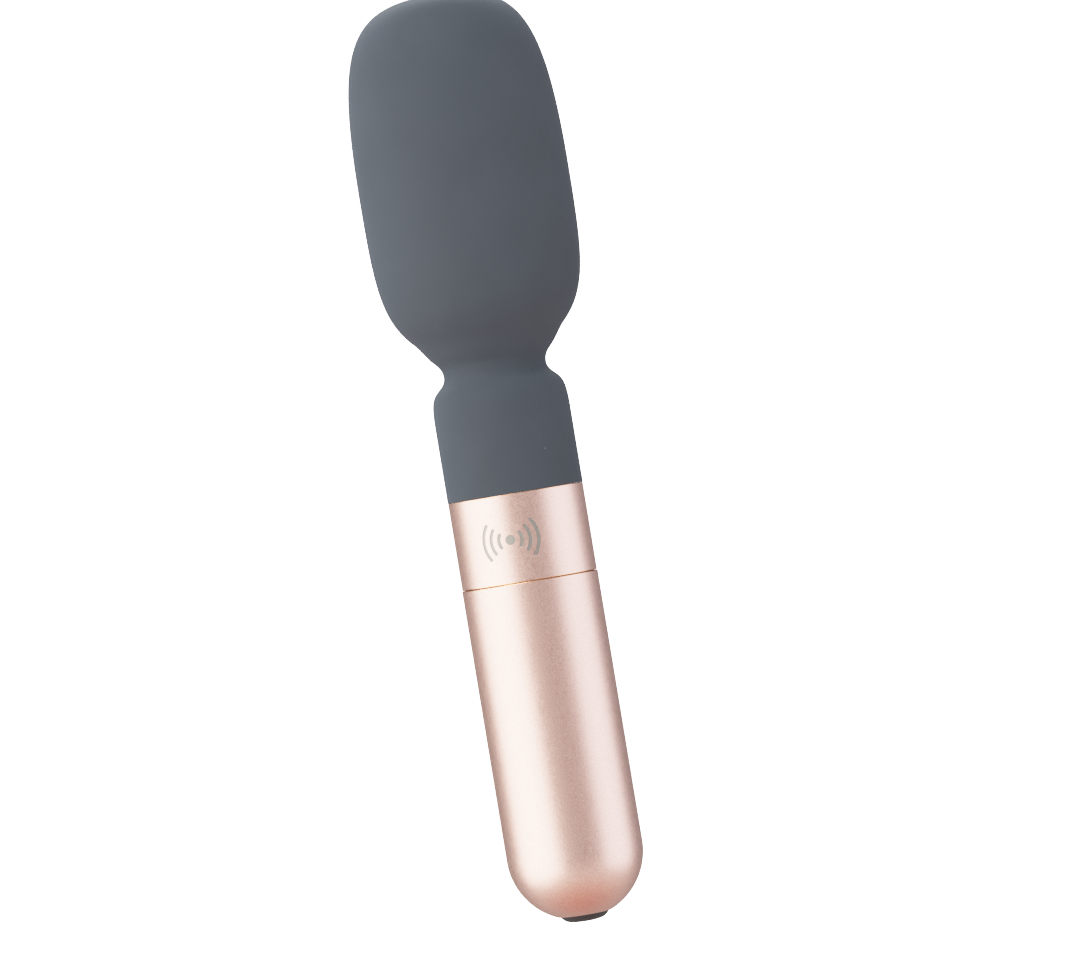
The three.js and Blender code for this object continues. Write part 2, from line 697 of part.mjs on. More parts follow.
function threadInsert() {
  const counterbore = SEAL_RING_R + SEAL_RING_SECTION + GAP;
  const counterboreRoof = 89.75;
  const socket = turned([
    [counterbore, INSERT_BOTTOM],
    [INSERT_R, INSERT_BOTTOM],
    [INSERT_R, INSERT_TOP],
    [0, INSERT_TOP],
    [0, SOCKET_ROOF],
    [SOCKET_R, SOCKET_ROOF],
    [SOCKET_R, counterboreRoof],
    [counterbore, counterboreRoof],
    [counterbore, INSERT_BOTTOM],
  ]);
  const ridgeStart = THREAD_START + PITCH / 2;
  return join(socket, threadRidge(SOCKET_R + THREAD_SUNK, SOCKET_R - THREAD_DEPTH, ridgeStart));
}

function siliconeSkirt() {
  const inner = INSERT_R + GAP;
  const roof = INSERT_TOP + GAP;
  const top = NECK_LOW - GAP;
  return turned([
    [inner, HEAD_BOTTOM],
    ...headOutline().filter(([, z]) => z < top - 0.1),
    stretch(headOutline(), NECK_LOW - 1, top).at(-1),
    [MOULD_HOLE_R, top],
    [MOULD_HOLE_R, roof],
    [inner, roof],
    [inner, HEAD_BOTTOM],
  ]);
}

function siliconeNeck() {
  return turned([
    [MOULD_HOLE_R, NECK_LOW],
    ...stretch(headOutline(), NECK_LOW, NECK_HIGH),
    [MOULD_HOLE_R, NECK_HIGH],
    [MOULD_HOLE_R, NECK_LOW],
  ]);
}

function siliconeBulb() {
  const bottom = NECK_HIGH + GAP;
  const cavity = coreOutline(-0.3);
  const [first] = stretch(headOutline(), bottom, WAND_LENGTH - 1);
  return turned([
    ...cavity.upper.reverse(),
    ...cavity.lower.reverse().filter(([r]) => r > MOULD_HOLE_R).slice(1),
    [MOULD_HOLE_R, CORE_BOTTOM - 0.3],
    [MOULD_HOLE_R, bottom],
    first,
    ...headOutline().filter(([, z]) => z > bottom + 0.1),
  ]);
}

function coreHalf(part) {
  const [outer, inner] = [coreOutline(0)[part], coreOutline(CORE_WALL)[part]];
  const split = part === "lower" ? -0.1 : 0.1;
  const parted = (outline) => outline.map(([r, z]) => [r, z === BULB_HEIGHT ? z + split : z]);
  const [outside, inside] = [parted(outer), parted(inner).reverse()];
  return turned(part === "lower" ? [...outside, ...inside] : [...inside, ...outside], MEDIUM);
}

function head() {
  const sealHeight = COLLAR_TOP + 0.1 + SEAL_RING_SECTION;
  return groupOf(
    piece("head_seal_ring", ringOf(SEAL_RING_R, SEAL_RING_SECTION, sealHeight), BLACK_RUBBER),
    piece("thread_insert", threadInsert(), BLACK_PLASTIC),
    piece("silicone_skirt", siliconeSkirt(), SILICONE),
    piece("silicone_neck", siliconeNeck(), SILICONE),
    piece("silicone_bulb", siliconeBulb(), SILICONE),
    piece("core_lower", coreHalf("lower"), WHITE_PLASTIC),
    piece("core_upper", coreHalf("upper"), WHITE_PLASTIC),
  );
}

// ---- Assembly ----

const wand = groupOf(casing(), electronics(), nose(), motor(), button(), head());
wand.position.z = -GRIP_HEIGHT;

export default wand;
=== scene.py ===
"""The looks of a cordless wand massager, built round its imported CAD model. Metres, +Z along the wand."""
import json
import math

import bmesh
import bpy
from mathutils import Matrix, Vector

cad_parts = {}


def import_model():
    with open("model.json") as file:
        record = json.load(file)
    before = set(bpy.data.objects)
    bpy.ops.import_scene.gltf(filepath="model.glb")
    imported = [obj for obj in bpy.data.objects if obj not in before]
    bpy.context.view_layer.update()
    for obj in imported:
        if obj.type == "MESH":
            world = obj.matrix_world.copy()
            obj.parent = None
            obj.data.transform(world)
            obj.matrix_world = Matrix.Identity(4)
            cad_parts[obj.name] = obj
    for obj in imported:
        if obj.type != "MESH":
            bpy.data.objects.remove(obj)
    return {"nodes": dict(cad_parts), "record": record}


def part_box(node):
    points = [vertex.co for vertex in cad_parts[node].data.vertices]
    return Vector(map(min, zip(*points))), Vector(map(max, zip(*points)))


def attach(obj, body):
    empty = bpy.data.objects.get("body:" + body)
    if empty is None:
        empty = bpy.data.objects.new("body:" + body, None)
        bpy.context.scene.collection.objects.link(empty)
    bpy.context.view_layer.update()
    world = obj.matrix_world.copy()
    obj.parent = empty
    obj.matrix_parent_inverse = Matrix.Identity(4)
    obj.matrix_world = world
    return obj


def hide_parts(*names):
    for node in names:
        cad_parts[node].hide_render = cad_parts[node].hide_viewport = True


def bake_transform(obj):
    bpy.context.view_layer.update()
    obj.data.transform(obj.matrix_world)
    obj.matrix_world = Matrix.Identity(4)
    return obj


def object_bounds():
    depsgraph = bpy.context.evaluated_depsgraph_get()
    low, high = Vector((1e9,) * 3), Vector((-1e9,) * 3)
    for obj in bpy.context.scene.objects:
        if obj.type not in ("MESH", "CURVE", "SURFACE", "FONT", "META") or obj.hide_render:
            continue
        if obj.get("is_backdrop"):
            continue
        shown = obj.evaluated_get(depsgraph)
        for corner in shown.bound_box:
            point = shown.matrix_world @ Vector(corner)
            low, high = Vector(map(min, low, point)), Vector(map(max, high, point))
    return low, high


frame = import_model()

CAD_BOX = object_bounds()

# ---- Sizes, read from the frame ----

MM = 0.001
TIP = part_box("button_cap")[0].z  # every height below is measured from the tip of the button
BODY_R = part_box("body_shell")[1].x
BODY_INNER_R = BODY_R - 1.5 * MM
BODY_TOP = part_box("body_shell")[1].z
DOME_CENTRE = TIP + 14.4 * MM
BUTTON_HOLE_R = 5.3 * MM
COLLAR_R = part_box("collar_ring")[1].x
COLLAR_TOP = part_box("collar_ring")[1].z
SPIGOT_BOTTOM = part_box("collar_ring")[0].z
SEAM = 0.12 * MM  # the fine gap below the collar
COLLAR_BOTTOM = BODY_TOP + SEAM
SKIRT_BOTTOM = COLLAR_TOP + 0.01 * MM  # the soft edge rests on the collar
SKIRT_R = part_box("silicone_skirt")[1].x
INSERT_LOW, INSERT_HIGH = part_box("thread_insert")
NOSE_LOW, NOSE_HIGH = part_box("nose_housing")
BULB_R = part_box("silicone_bulb")[1].x
WAND_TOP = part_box("silicone_bulb")[1].z
CORE_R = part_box("core_lower")[1].x
CORE_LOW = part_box("core_lower")[0].z
CORE_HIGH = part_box("core_upper")[1].z
FINE = 192  # facets round a large turned piece
SHARP = 35  # degrees between faces above which their edge shows as an edge
SLIVER = 0.002 * MM  # points closer than this after a join or cut become one

# ---- Mesh helpers ----


def up(millimetres):
    """A height above the tip of the button, in the frame."""
    return TIP + millimetres * MM


def arc(radius, height, size, start, end, steps):
    """Points of an arc in the (radius, height) plane; a quarter turn is upwards."""
    angles = [start + (end - start) * i / steps for i in range(steps + 1)]
    return [(radius + size * math.cos(a), height + size * math.sin(a)) for a in angles]


def cubic(points, steps):
    """Points of a cubic curve given by its four control points."""
    made = []
    for i in range(steps + 1):
        t = i / steps
        weights = ((1 - t) ** 3, 3 * t * (1 - t) ** 2, 3 * t * t * (1 - t), t**3)
        made.append(tuple(sum(w * p[k] for w, p in zip(weights, points)) for k in (0, 1)))
    return made


def rounded(corners, closed=True, steps=5):
    """An outline from corners (radius, height) or (radius, height, rounding). A rounding is a small curve."""
    made = []
    for i, corner in enumerate(corners):
        if len(corner) == 2:
            made.append(corner)
            continue
        point = Vector(corner[:2])
        before = (Vector(corners[i - 1][:2]) - point).normalized()
        after = (Vector(corners[(i + 1) % len(corners)][:2]) - point).normalized()
        start, end = point + before * corner[2], point + after * corner[2]
        for k in range(steps + 1):
            t = k / steps
            made.append(tuple(start * (1 - t) ** 2 + point * 2 * t * (1 - t) + end * t * t))
    if closed:
        made.append(made[0])
    return made


def supported(points, closed):
    """Adds a point near each end of a run far longer than its neighbour, so that the run shades straight."""
    far_longer = 6  # times
    made = []
    for i, point in enumerate(points):
        made.append(point)
        if i == len(points) - 1 and not closed:
            break
        before, here, there, after = (Vector(points[(i + k) % len(points)]) for k in (-1, 0, 1, 2))
        run, previous, following = there - here, (here - before).length, (after - there).length
        if run.length > far_longer * previous:
            made.append(tuple(here + run.normalized() * previous))
        if run.length > far_longer * following:
            made.append(tuple(there - run.normalized() * following))
    return made


def new_piece(name, vertices, faces, material):
    """A mesh object, smooth except at its sharp edges."""
    mesh = bpy.data.meshes.new(name)
    mesh.from_pydata(vertices, [], faces)
    mesh.shade_smooth()
    mesh.set_sharp_from_angle(angle=math.radians(SHARP))
    mesh.materials.append(material)
    piece = bpy.data.objects.new(name, mesh)
    bpy.context.scene.collection.objects.link(piece)
    return piece


def turned(name, outline, material, facets=FINE):
    """A solid of revolution about Z. Its outline goes up the outside and down the inside."""
    on_axis = 1e-7
    closed = outline[0] == outline[-1]
    points = supported(outline[:-1] if closed else outline, closed)
    vertices, rings = [], []
    for radius, height in points:
        count = 1 if radius < on_axis else facets
        rings.append(range(len(vertices), len(vertices) + count))
        for k in range(count):
            turn = 2 * math.pi * k / facets
            vertices.append((radius * math.cos(turn), radius * math.sin(turn), height))
    faces = []
    for below, above in zip(rings, rings[1:] + rings[:1] if closed else rings[1:]):
        for k in range(facets):
            low = [below[k % len(below)], below[(k + 1) % facets % len(below)]]
            high = [above[(k + 1) % facets % len(above)], above[k % len(above)]]
            corners = list(dict.fromkeys(low + high))
            if len(corners) > 2:
                faces.append(corners)
    return new_piece(name, vertices, faces, material)


def combine(piece, tool, operation):
    """Joins a tool to a piece or cuts it away, and removes the tool."""
    modifier = piece.modifiers.new(operation.lower(), "BOOLEAN")
    modifier.operation = operation
    modifier.solver = "EXACT"
    modifier.material_mode = "TRANSFER"
    modifier.object = tool
    shaped = bpy.data.meshes.new_from_object(piece.evaluated_get(bpy.context.evaluated_depsgraph_get()))
    cleaned = bmesh.new()
    cleaned.from_mesh(shaped)
    bmesh.ops.remove_doubles(cleaned, verts=cleaned.verts, dist=SLIVER)
    bmesh.ops.dissolve_degenerate(cleaned, edges=cleaned.edges, dist=SLIVER)
    cleaned.to_mesh(shaped)
    cleaned.free()
    shaped.set_sharp_from_angle(angle=math.radians(SHARP))
    piece.modifiers.clear()
    piece.data = shaped
    bpy.data.objects.remove(tool)
    return piece


def show(piece, body, slot, *nodes):
    """The finished piece moves with a body and stands for these CAD nodes."""
    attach(piece, body)
    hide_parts(*nodes)


# ---- Material helpers ----


class Shader:
    """A node material with a Principled shader, whose patterns lie in the object's own coordinates."""

    def __init__(self, name, roughness, metallic=0.0, **settings):
        self.material = bpy.data.materials.new(name)
        self.material.use_nodes = True
        self.tree = self.material.node_tree
        self.surface = self.tree.nodes["Principled BSDF"]
        self.coordinates = self.tree.nodes.new("ShaderNodeTexCoord").outputs["Object"]
        self.surface.inputs["Roughness"].default_value = roughness
        self.surface.inputs["Metallic"].default_value = metallic
        for socket, value in settings.items():
            self.surface.inputs[socket.replace("_", " ")].default_value = value

    def noise(self, size, detail=2.0):
        """Values from 0 to 1 in patches of about the given size in metres."""
        node = self.tree.nodes.new("ShaderNodeTexNoise")
        node.inputs["Scale"].default_value = 1 / size
        node.inputs["Detail"].default_value = detail
        self.tree.links.new(self.coordinates, node.inputs["Vector"])
        return node.outputs["Fac"]

    def math(self, operation, first, second=0.0):
        """The result of an operation on one or two values."""
        node = self.tree.nodes.new("ShaderNodeMath")
        node.operation = operation
        self.put(first, node.inputs[0])
        self.put(second, node.inputs[1])
        return node.outputs[0]

    def put(self, value, socket):
        """A socket's value: another node's output, or a number or colour."""
        if isinstance(value, bpy.types.NodeSocket):
            self.tree.links.new(value, socket)
        else:
            socket.default_value = value

    def ranged(self, value, low, high, in_low=0.3, in_high=0.7):
        """A pattern spread over another range."""
        node = self.tree.nodes.new("ShaderNodeMapRange")
        self.put(value, node.inputs["Value"])
        for name, number in (("From Min", in_low), ("From Max", in_high), ("To Min", low), ("To Max", high)):
            node.inputs[name].default_value = number
        return node.outputs["Result"]

    def mixed(self, factor, first, second):
        """Two colours mixed, the second by the factor."""
        node = self.tree.nodes.new("ShaderNodeMix")
        node.data_type = "RGBA"
        self.put(factor, node.inputs["Factor"])
        self.put(first, node.inputs["A"])
        self.put(second, node.inputs["B"])
        return node.outputs["Result"]

    def height(self):
        """The point's height in the frame."""
        node = self.tree.nodes.new("ShaderNodeSeparateXYZ")
        self.tree.links.new(self.coordinates, node.inputs[0])
        return node.outputs["Z"]

    def bump(self, value, distance, strength=1.0):
        """Relief of the given depth in metres, on top of any relief before it."""
        node = self.tree.nodes.new("ShaderNodeBump")
        node.inputs["Distance"].default_value = distance
        node.inputs["Strength"].default_value = strength
        self.put(value, node.inputs["Height"])
        previous = self.surface.inputs["Normal"].links
        if previous:
            self.tree.links.new(previous[0].from_socket, node.inputs["Normal"])
        self.tree.links.new(node.outputs["Normal"], self.surface.inputs["Normal"])

    def color(self, value):
        self.put(value, self.surface.inputs["Base Color"])

    def roughness(self, value):
        self.put(value, self.surface.inputs["Roughness"])


def color(red, green, blue):
    return (red, green, blue, 1.0)


# ---- Materials ----


def blasted_metal():
    """Bead-blasted aluminium, anodised in pale rose, with smoother cut edges at the seams that carry a
    painted copper glint.
    """
    look = Shader("rose anodised metal", 0.40, 1.0)
    grain = look.noise(0.00028, 1.0)
    cloud = look.noise(0.012, 3.0)
    pale, deep = color(0.93, 0.690, 0.625), color(0.77, 0.540, 0.480)
    anodised = look.mixed(look.ranged(grain, 0.0, 1.0), deep, pale)
    anodised = look.mixed(look.ranged(cloud, 0.0, 0.16), anodised, color(0.90, 0.62, 0.56))
    # the seams' edges: their lower roughness is real polish, their copper colour is a painted glint
    edge_width, edge_polish = 0.14 * MM, 0.12
    edges = 0.0
    for height in (BODY_TOP, COLLAR_BOTTOM, COLLAR_TOP):
        offset = look.math("ABSOLUTE", look.math("SUBTRACT", look.height(), height))
        edges = look.math("MAXIMUM", edges, look.math("LESS_THAN", offset, edge_width))
    # painted glint: a saturated copper colour on the seams' edges stands for light bouncing inside the seams
    look.color(look.mixed(edges, anodised, color(0.92, 0.50, 0.30)))
    blasted = look.ranged(grain, 0.36, 0.46)
    look.roughness(look.math("SUBTRACT", blasted, look.math("MULTIPLY", edges, edge_polish)))
    look.bump(grain, 0.010 * MM, 0.8)
    look.bump(cloud, 0.010 * MM, 0.25)
    return look.material


def engraved_metal():
    """Bare silvery aluminium where a laser has taken the anodising off."""
    look = Shader("laser engraving", 0.5, 1.0)
    hatch = look.noise(0.00015, 2.0)
    look.color(look.mixed(hatch, color(0.30, 0.30, 0.275), color(0.50, 0.50, 0.465)))
    look.roughness(look.ranged(hatch, 0.5, 0.68))
    look.bump(hatch, 0.01 * MM, 0.6)
    return look.material


def soft_silicone():
    """Matte slate-grey silicone with a velvety skin, faint mottling and a few specks of dust."""
    look = Shader("slate silicone", 0.7, 0.0, Specular_IOR_Level=0.25, Diffuse_Roughness=1.0)
    mottle = look.noise(0.011, 4.0)
    skin = look.noise(0.0004, 3.0)
    base = look.mixed(look.ranged(mottle, 0.0, 1.0), color(0.074, 0.090, 0.110), color(0.081, 0.098, 0.120))
    base = look.mixed(look.ranged(skin, 0.0, 0.14), base, color(0.098, 0.116, 0.140))
    dust_spacing, dust_size, bare_share, dust_cover = 0.009, 0.014, 0.72, 0.55
    cells = look.tree.nodes.new("ShaderNodeTexVoronoi")
    cells.inputs["Scale"].default_value = 1 / dust_spacing
    look.tree.links.new(look.coordinates, cells.inputs["Vector"])
    near = look.math("LESS_THAN", cells.outputs["Distance"], dust_size)
    picked = look.tree.nodes.new("ShaderNodeSeparateColor")
    look.tree.links.new(cells.outputs["Color"], picked.inputs["Color"])
    chosen = look.math("GREATER_THAN", picked.outputs["Red"], bare_share)
    dust = look.math("MULTIPLY", look.math("MULTIPLY", near, chosen), dust_cover)
    look.color(look.mixed(dust, base, color(0.42, 0.42, 0.40)))
    look.roughness(look.ranged(skin, 0.64, 0.76))
    look.bump(skin, 0.006 * MM, 0.5)
    look.bump(mottle, 0.05 * MM, 0.2)
    return look.material


def moulded(name, low, high, roughness, grain_size=0.0005, grain_depth=0.008):
    """A moulded material: two close tones, a fine grain (deep in millimetres) and a varying roughness."""
    look = Shader(name, roughness)
    grain = look.noise(grain_size, 3.0)
    cloud = look.noise(grain_size * 30, 2.0)
    tone = look.math("ADD", look.math("MULTIPLY", grain, 0.6), look.math("MULTIPLY", cloud, 0.4))
    look.color(look.mixed(look.ranged(tone, 0.0, 1.0), color(*low), color(*high)))
    look.roughness(look.ranged(cloud, roughness - 0.06, roughness + 0.06))
    look.bump(grain, grain_depth * MM, 0.5)
    return look.material


def brushed(name, low, high, roughness, stretch=(1, 1, 0.05)):
    """Metal with fine scratches along its stretched direction."""
    look = Shader(name, roughness, 1.0)
    mapping = look.tree.nodes.new("ShaderNodeMapping")
    mapping.inputs["Scale"].default_value = stretch
    look.tree.links.new(look.coordinates, mapping.inputs["Vector"])
    look.coordinates = mapping.outputs["Vector"]
    scratches = look.noise(0.00025, 3.0)
    look.color(look.mixed(look.ranged(scratches, 0.0, 1.0), color(*low), color(*high)))
    look.roughness(look.ranged(scratches, roughness - 0.08, roughness + 0.1))
    look.bump(scratches, 0.006 * MM, 0.4)
    return look.material


def circuit_board():
    """Green solder mask over faint copper tracks and pads."""
    look = Shader("circuit board", 0.35, 0.0)
    tracks = look.tree.nodes.new("ShaderNodeTexWave")
    tracks.bands_direction = "X"
    tracks.inputs["Scale"].default_value = 260
    tracks.inputs["Distortion"].default_value = 1.5
    look.tree.links.new(look.coordinates, tracks.inputs["Vector"])
    lines = look.ranged(tracks.outputs["Fac"], 0.0, 1.0, 0.45, 0.55)
    mask = look.mixed(lines, color(0.010, 0.090, 0.040), color(0.030, 0.170, 0.070))
    speck = look.math("GREATER_THAN", look.noise(0.0012, 1.0), 0.68)
    look.color(look.mixed(speck, mask, color(0.70, 0.62, 0.45)))
    look.bump(lines, 0.03 * MM, 0.5)
    return look.material


MATERIALS = {
    "rose_metal": blasted_metal(),
    "engraving": engraved_metal(),
    "silicone": soft_silicone(),
    "button_rubber": moulded("button rubber", (0.030, 0.031, 0.034), (0.042, 0.043, 0.047), 0.55),
    "seal_rubber": moulded("seal rubber", (0.010, 0.010, 0.011), (0.020, 0.020, 0.021), 0.5),
    "black_plastic": moulded(
        "black plastic", (0.016, 0.016, 0.018), (0.028, 0.028, 0.031), 0.45, 0.0003, 0.01
    ),
    "white_plastic": moulded("white plastic", (0.70, 0.69, 0.65), (0.78, 0.77, 0.73), 0.4),
    "steel": brushed("steel", (0.50, 0.51, 0.53), (0.66, 0.67, 0.69), 0.28),
    "brass": brushed("gilded brass", (0.72, 0.50, 0.18), (0.85, 0.64, 0.28), 0.25),
    "winding": brushed("copper winding", (0.50, 0.20, 0.08), (0.78, 0.36, 0.17), 0.35, (0.1, 0.1, 4)),
    "ferrite": moulded("ferrite", (0.035, 0.035, 0.037), (0.060, 0.060, 0.062), 0.5, 0.0002, 0.02),
    "cell_wrap": moulded("cell wrap", (0.020, 0.120, 0.300), (0.030, 0.150, 0.350), 0.3, 0.0008, 0.006),
    "circuit_board": circuit_board(),
    "ribbon": brushed("ribbon cable", (0.40, 0.19, 0.05), (0.60, 0.32, 0.10), 0.35, (6, 1, 0.02)),
    "chip": moulded("chip epoxy", (0.012, 0.012, 0.013), (0.022, 0.022, 0.023), 0.4, 0.0002, 0.01),
    "red_wire": moulded("red wire", (0.36, 0.015, 0.012), (0.44, 0.025, 0.020), 0.4),
    "black_wire": moulded("black wire", (0.010, 0.010, 0.011), (0.020, 0.020, 0.021), 0.4),
    "foam": moulded("foam", (0.10, 0.105, 0.11), (0.19, 0.195, 0.20), 0.9, 0.0006, 0.15),
}


def dress_cad_nodes():
    """Each CAD node that stays gets the material of its slot in the record."""
    for entry in frame["record"]["subparts"]:
        node = frame["nodes"][entry["node"]]
        node.data.materials.clear()
        node.data.materials.append(MATERIALS[entry["material_slot"]])


# ---- Handle ----


def body_shell():
    """The tube with its domed end and the button's hole."""
    hole = [-math.acos(BUTTON_HOLE_R / radius) for radius in (BODY_R, BODY_INNER_R)]
    lead_in = 0.02  # radians, the small break of the hole's edge
    outside = arc(0, DOME_CENTRE, BODY_R, hole[0] + lead_in, 0, 40)
    inside = arc(0, DOME_CENTRE, BODY_INNER_R, 0, hole[1], 24)
    edge = 0.09 * MM
    outline = [
        *outside,
        (BODY_R, BODY_TOP - edge),
        (BODY_R - edge / 2, BODY_TOP - edge / 6),
        (BODY_R - edge, BODY_TOP),
        (BODY_INNER_R, BODY_TOP),
        *inside,
        (BUTTON_HOLE_R, outside[0][1] + 0.12 * MM),
        outside[0],
    ]
    show(turned("handle_shell", outline, MATERIALS["rose_metal"]), "handle", "rose_metal", "body_shell")


def stroke(path, half_width, inner_r, outer_r, name):
    """A prism wrapped round the collar along a path of (arc length, height) points, with round ends."""
    bluntness = 0.02  # keeps the ends from closing to a point
    lengths = [0.0]
    for a, b in zip(path, path[1:]):
        lengths.append(lengths[-1] + (b - a).length)
    vertices = []
    for i, point in enumerate(path):
        ahead = path[min(i + 1, len(path) - 1)] - path[max(i - 1, 0)]
        side = Vector((-ahead.y, ahead.x)).normalized()
        from_end = min(lengths[i], lengths[-1] - lengths[i])
        shortfall = max(0.0, half_width - from_end) / half_width
        reach = half_width * math.sqrt(max(bluntness, 1 - shortfall**2))
        for sign, radius in ((1, inner_r), (-1, inner_r), (-1, outer_r), (1, outer_r)):
            along, height = point + side * reach * sign
            turn = along / COLLAR_R
            vertices.append((radius * math.sin(turn), -radius * math.cos(turn), height))
    faces = [(0, 1, 2, 3), tuple(len(vertices) - 1 - k for k in range(4))]
    for i in range(0, len(vertices) - 4, 4):
        for k in range(4):
            faces.append((i + k, i + 4 + k, i + 4 + (k + 1) % 4, i + (k + 1) % 4))
    return new_piece(name, vertices, faces, MATERIALS["engraving"])


def collar_strokes():
    """A dot between nested arcs, the common sign for something that vibrates."""
    centre = Vector((-2.5 * MM, up(79.1)))
    half_width, depth, proud = 0.34 * MM, 0.07 * MM, 0.4 * MM
    dot_r = 1.0 * MM
    paths = [([centre + Vector((dot_r * t, 0)) for t in unit_steps(24)], dot_r)]
    for side in (-1, 1):
        for radius in (2.4 * MM, 4.1 * MM, 5.8 * MM):
            reach = math.radians(40)
            turns = [reach * t for t in unit_steps(40)]
            arc_points = [centre + radius * Vector((side * math.cos(a), math.sin(a))) for a in turns]
            paths.append((arc_points, half_width))
    for i, (path, width) in enumerate(paths):
        yield stroke(path, width, COLLAR_R - depth, COLLAR_R + proud, f"stroke_{i}")


def unit_steps(count):
    """Numbers from -1 to 1, closer together near both ends."""
    return [-math.cos(math.pi * i / count) for i in range(count + 1)]


def collar_ring():
    """The collar with its spigot, O-ring groove, chamfered edges and engraved sign."""
    edge = 0.08 * MM
    spigot_r, bore = 12.3 * MM, 11 * MM
    groove_r, groove_low, groove_high = 11.5 * MM, up(65.4), up(66.6)
    lip_r, lip_bottom = 10.2 * MM, COLLAR_TOP - 1.1 * MM
    outline = rounded(
        [
            (bore, SPIGOT_BOTTOM),
            (spigot_r, SPIGOT_BOTTOM, edge),
            (spigot_r, groove_low, 0.05 * MM),
            (groove_r, groove_low, 0.1 * MM),
            (groove_r, groove_high, 0.1 * MM),
            (spigot_r, groove_high, 0.05 * MM),
            (spigot_r, COLLAR_BOTTOM, 0.1 * MM),
            (COLLAR_R, COLLAR_BOTTOM, edge),
            (COLLAR_R, COLLAR_TOP, edge),
            (lip_r, COLLAR_TOP, 0.1 * MM),
            (lip_r, lip_bottom),
            (bore, lip_bottom, 0.1 * MM),
        ]
    )
    collar = turned("collar", outline, MATERIALS["rose_metal"], 3 * FINE)
    for tool in collar_strokes():
        combine(collar, tool, "DIFFERENCE")
    show(collar, "handle", "rose_metal", "collar_ring")


def rubber_rings():
    """The collar's O-ring, the button's seal and the ring that seals the head."""
    for node, body in (("collar_o_ring", "handle"), ("button_seal", "handle"), ("head_seal_ring", "seal")):
        low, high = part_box(node)
        section = (high.z - low.z) / 2 / math.cos(math.pi / 6)
        middle = (low.z + high.z) / 2
        turn = arc(high.x - section, middle, section, -math.pi, math.pi, 28)
        ring = turned(node + "_fine", [*turn[:-1], turn[0]], MATERIALS["seal_rubber"])
        show(ring, body, "seal_rubber", node)


def push_button():
    """The rubber button: flat in the middle, falling away to its rim, with a fine groove round the middle."""
    flange_low, flange_high = up(4.3), up(5.2)
    radius, flange_r = 5.1 * MM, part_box("button_cap")[1].x
    flat_r, rim = 3.9 * MM, up(1.5)
    groove_r, groove_width, groove_depth = 2.9 * MM, 0.2 * MM, 0.1 * MM
    face = []
    for r, z in cubic([(0, TIP), (flat_r, TIP), (flat_r, up(0.3)), (radius, rim)], 90):
        away = (r - groove_r) / groove_width
        face.append((r, z + groove_depth * math.exp(-away * away)))
    socket_r, socket_roof = 2.1 * MM, up(2.4)
    outline = [
        *face,
        (radius, flange_low),
        *arc(flange_r - 0.2 * MM, flange_low + 0.2 * MM, 0.2 * MM, -math.pi / 2, 0, 5),
        *arc(flange_r - 0.2 * MM, flange_high - 0.2 * MM, 0.2 * MM, 0, math.pi / 2, 5),
        (socket_r, flange_high),
        (socket_r, socket_roof),
        (0, socket_roof),
    ]
    show(turned("push_button", outline, MATERIALS["button_rubber"]), "button", "button_rubber", "button_cap")


# ---- Screw joint between handle and head ----

PITCH = 2.5 * MM
THREAD_TURNS = 1.5
THREAD_START = up(91.5)
THREAD_DEPTH = 1.0 * MM
THREAD_SUNK = 0.3 * MM


def thread_ridge(root_r, crest_r, start, material):
    """A helical ridge, as a closed mesh whose root lies inside its wall."""
    root, crest = 0.6 * MM, 0.3 * MM
    steps = int(THREAD_TURNS * FINE)
    vertices, faces = [], []
    for i in range(steps + 1):
        turn = 2 * math.pi * (i + 0.5) / FINE  # between the wall's own facets
        height = start + PITCH * i / FINE
        for radius, offset in ((root_r, -root), (crest_r, -crest), (crest_r, crest), (root_r, root)):
            vertices.append((radius * math.cos(turn), radius * math.sin(turn), height + offset))
    for i in range(0, 4 * steps, 4):
        for k in range(4):
            faces.append((i + k, i + 4 + k, i + 4 + (k + 1) % 4, i + (k + 1) % 4))
    faces += [(0, 1, 2, 3), tuple(4 * steps + k for k in (3, 2, 1, 0))]
    if crest_r < root_r:
        faces = [face[::-1] for face in faces]
    return new_piece("ridge", vertices, faces, material)


def nose_housing():
    """The nose with its flange, motor bore and male thread."""
    material = MATERIALS["black_plastic"]
    nose_r, bore, seat_r, opening = 9 * MM, 7.5 * MM, 8.3 * MM, 3.5 * MM
    flange_r, flange_top = NOSE_HIGH.x, up(87)
    floor, seat = up(86.6), up(103.9)
    outline = rounded(
        [
            (opening, NOSE_LOW.z),
            (flange_r, NOSE_LOW.z, 0.2 * MM),
            (flange_r, flange_top, 0.2 * MM),
            (nose_r, flange_top, 0.3 * MM),
            (nose_r, NOSE_HIGH.z, 0.4 * MM),
            (seat_r, NOSE_HIGH.z, 0.1 * MM),
            (seat_r, seat),
            (bore, seat),
            (bore, floor),
            (opening, floor),
        ]
    )
    nose = turned("nose", outline, material)
    combine(nose, thread_ridge(nose_r - THREAD_SUNK, nose_r + THREAD_DEPTH, THREAD_START, material), "UNION")
    show(nose, "handle", "black_plastic", "nose_housing")


def thread_insert():
    """The stiff socket inside the silicone, with its female thread and the room for the seal ring."""
    material = MATERIALS["black_plastic"]
    socket_r, counterbore, counterbore_roof = 10.4 * MM, 11.9 * MM, up(89.75)
    roof = up(107.2)
    outline = rounded(
        [
            (0, roof),
            (socket_r, roof, 0.3 * MM),
            (socket_r, counterbore_roof, 0.1 * MM),
            (counterbore, counterbore_roof),
            (counterbore, INSERT_LOW.z, 0.1 * MM),
            (INSERT_HIGH.x, INSERT_LOW.z, 0.1 * MM),
            (INSERT_HIGH.x, INSERT_HIGH.z, 0.3 * MM),
            (0, INSERT_HIGH.z),
        ],
        closed=False,
    )
    insert = turned("socket", outline, material)
    start = THREAD_START + PITCH / 2
    combine(insert, thread_ridge(socket_r + THREAD_SUNK, socket_r - THREAD_DEPTH, start, material), "UNION")
    show(insert, "head", "black_plastic", "thread_insert")


